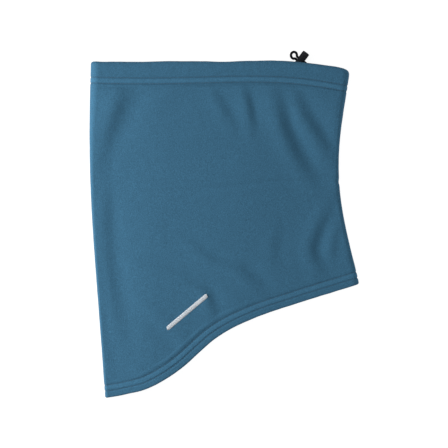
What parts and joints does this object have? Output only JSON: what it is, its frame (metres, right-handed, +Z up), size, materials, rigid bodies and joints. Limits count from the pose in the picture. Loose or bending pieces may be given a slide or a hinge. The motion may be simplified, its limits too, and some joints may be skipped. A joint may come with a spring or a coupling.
{
  "type": "neck gaiter",
  "caption": "Fleece neck gaiter lying flat, cut long at the front, with a drawcord casing and cord lock at the top and a turned hem below.",
  "frame": {"origin": "on the table, under the middle of the flat cloth, without the drawcord's free loop and its lock", "axes": "+Z up from the table, +Y towards the neck edge, +X towards the centre-back seam"},
  "size_m": [0.2859, 0.3683, 0.021],
  "materials": {
    "fleece": "brushed microfleece, matt",
    "thread": "textured polyester thread",
    "elastic_cord": "braided over rubber",
    "lock_plastic": "satin",
    "spring_steel": "bright",
    "label_satin": "woven satin",
    "bar_thread": "satin stitch"
  },
  "bodies": {
    "gaiter": {"fleece_body": "fleece", "top_casing_facing": "fleece", "bottom_hem_facing": "fleece", "back_seam_allowance": "fleece", "casing_needle_thread_upper": "thread", "casing_needle_thread_lower": "thread", "hem_needle_thread_upper": "thread", "hem_needle_thread_lower": "thread", "casing_looper_thread": "thread", "hem_looper_thread": "thread", "back_seam_overlock_thread": "thread", "buttonhole_thread_a": "thread", "buttonhole_thread_b": "thread", "drawcord_long_run": "elastic_cord", "drawcord_short_run": "elastic_cord", "drawcord_loop": "elastic_cord", "care_label": "label_satin", "embroidered_bar": "bar_thread"},
    "cord_lock": {"lock_barrel": "lock_plastic", "lock_spring": "spring_steel"},
    "button": {"lock_plunger": "lock_plastic"}
  },
  "joints": [
    {"name": "lock_slide", "type": "slide", "parent": "gaiter", "child": "cord_lock", "axis": [0.8, -0.6, 0], "range_m": [0, 0.005]},
    {"name": "button_press", "type": "slide", "parent": "cord_lock", "child": "button", "axis": [0.6, 0.8, 0], "range_m": [0, 0.0022], "stiffness_N_per_m": 1500, "springref_m": -0.002, "deforming": ["lock_spring"]}
  ]
}
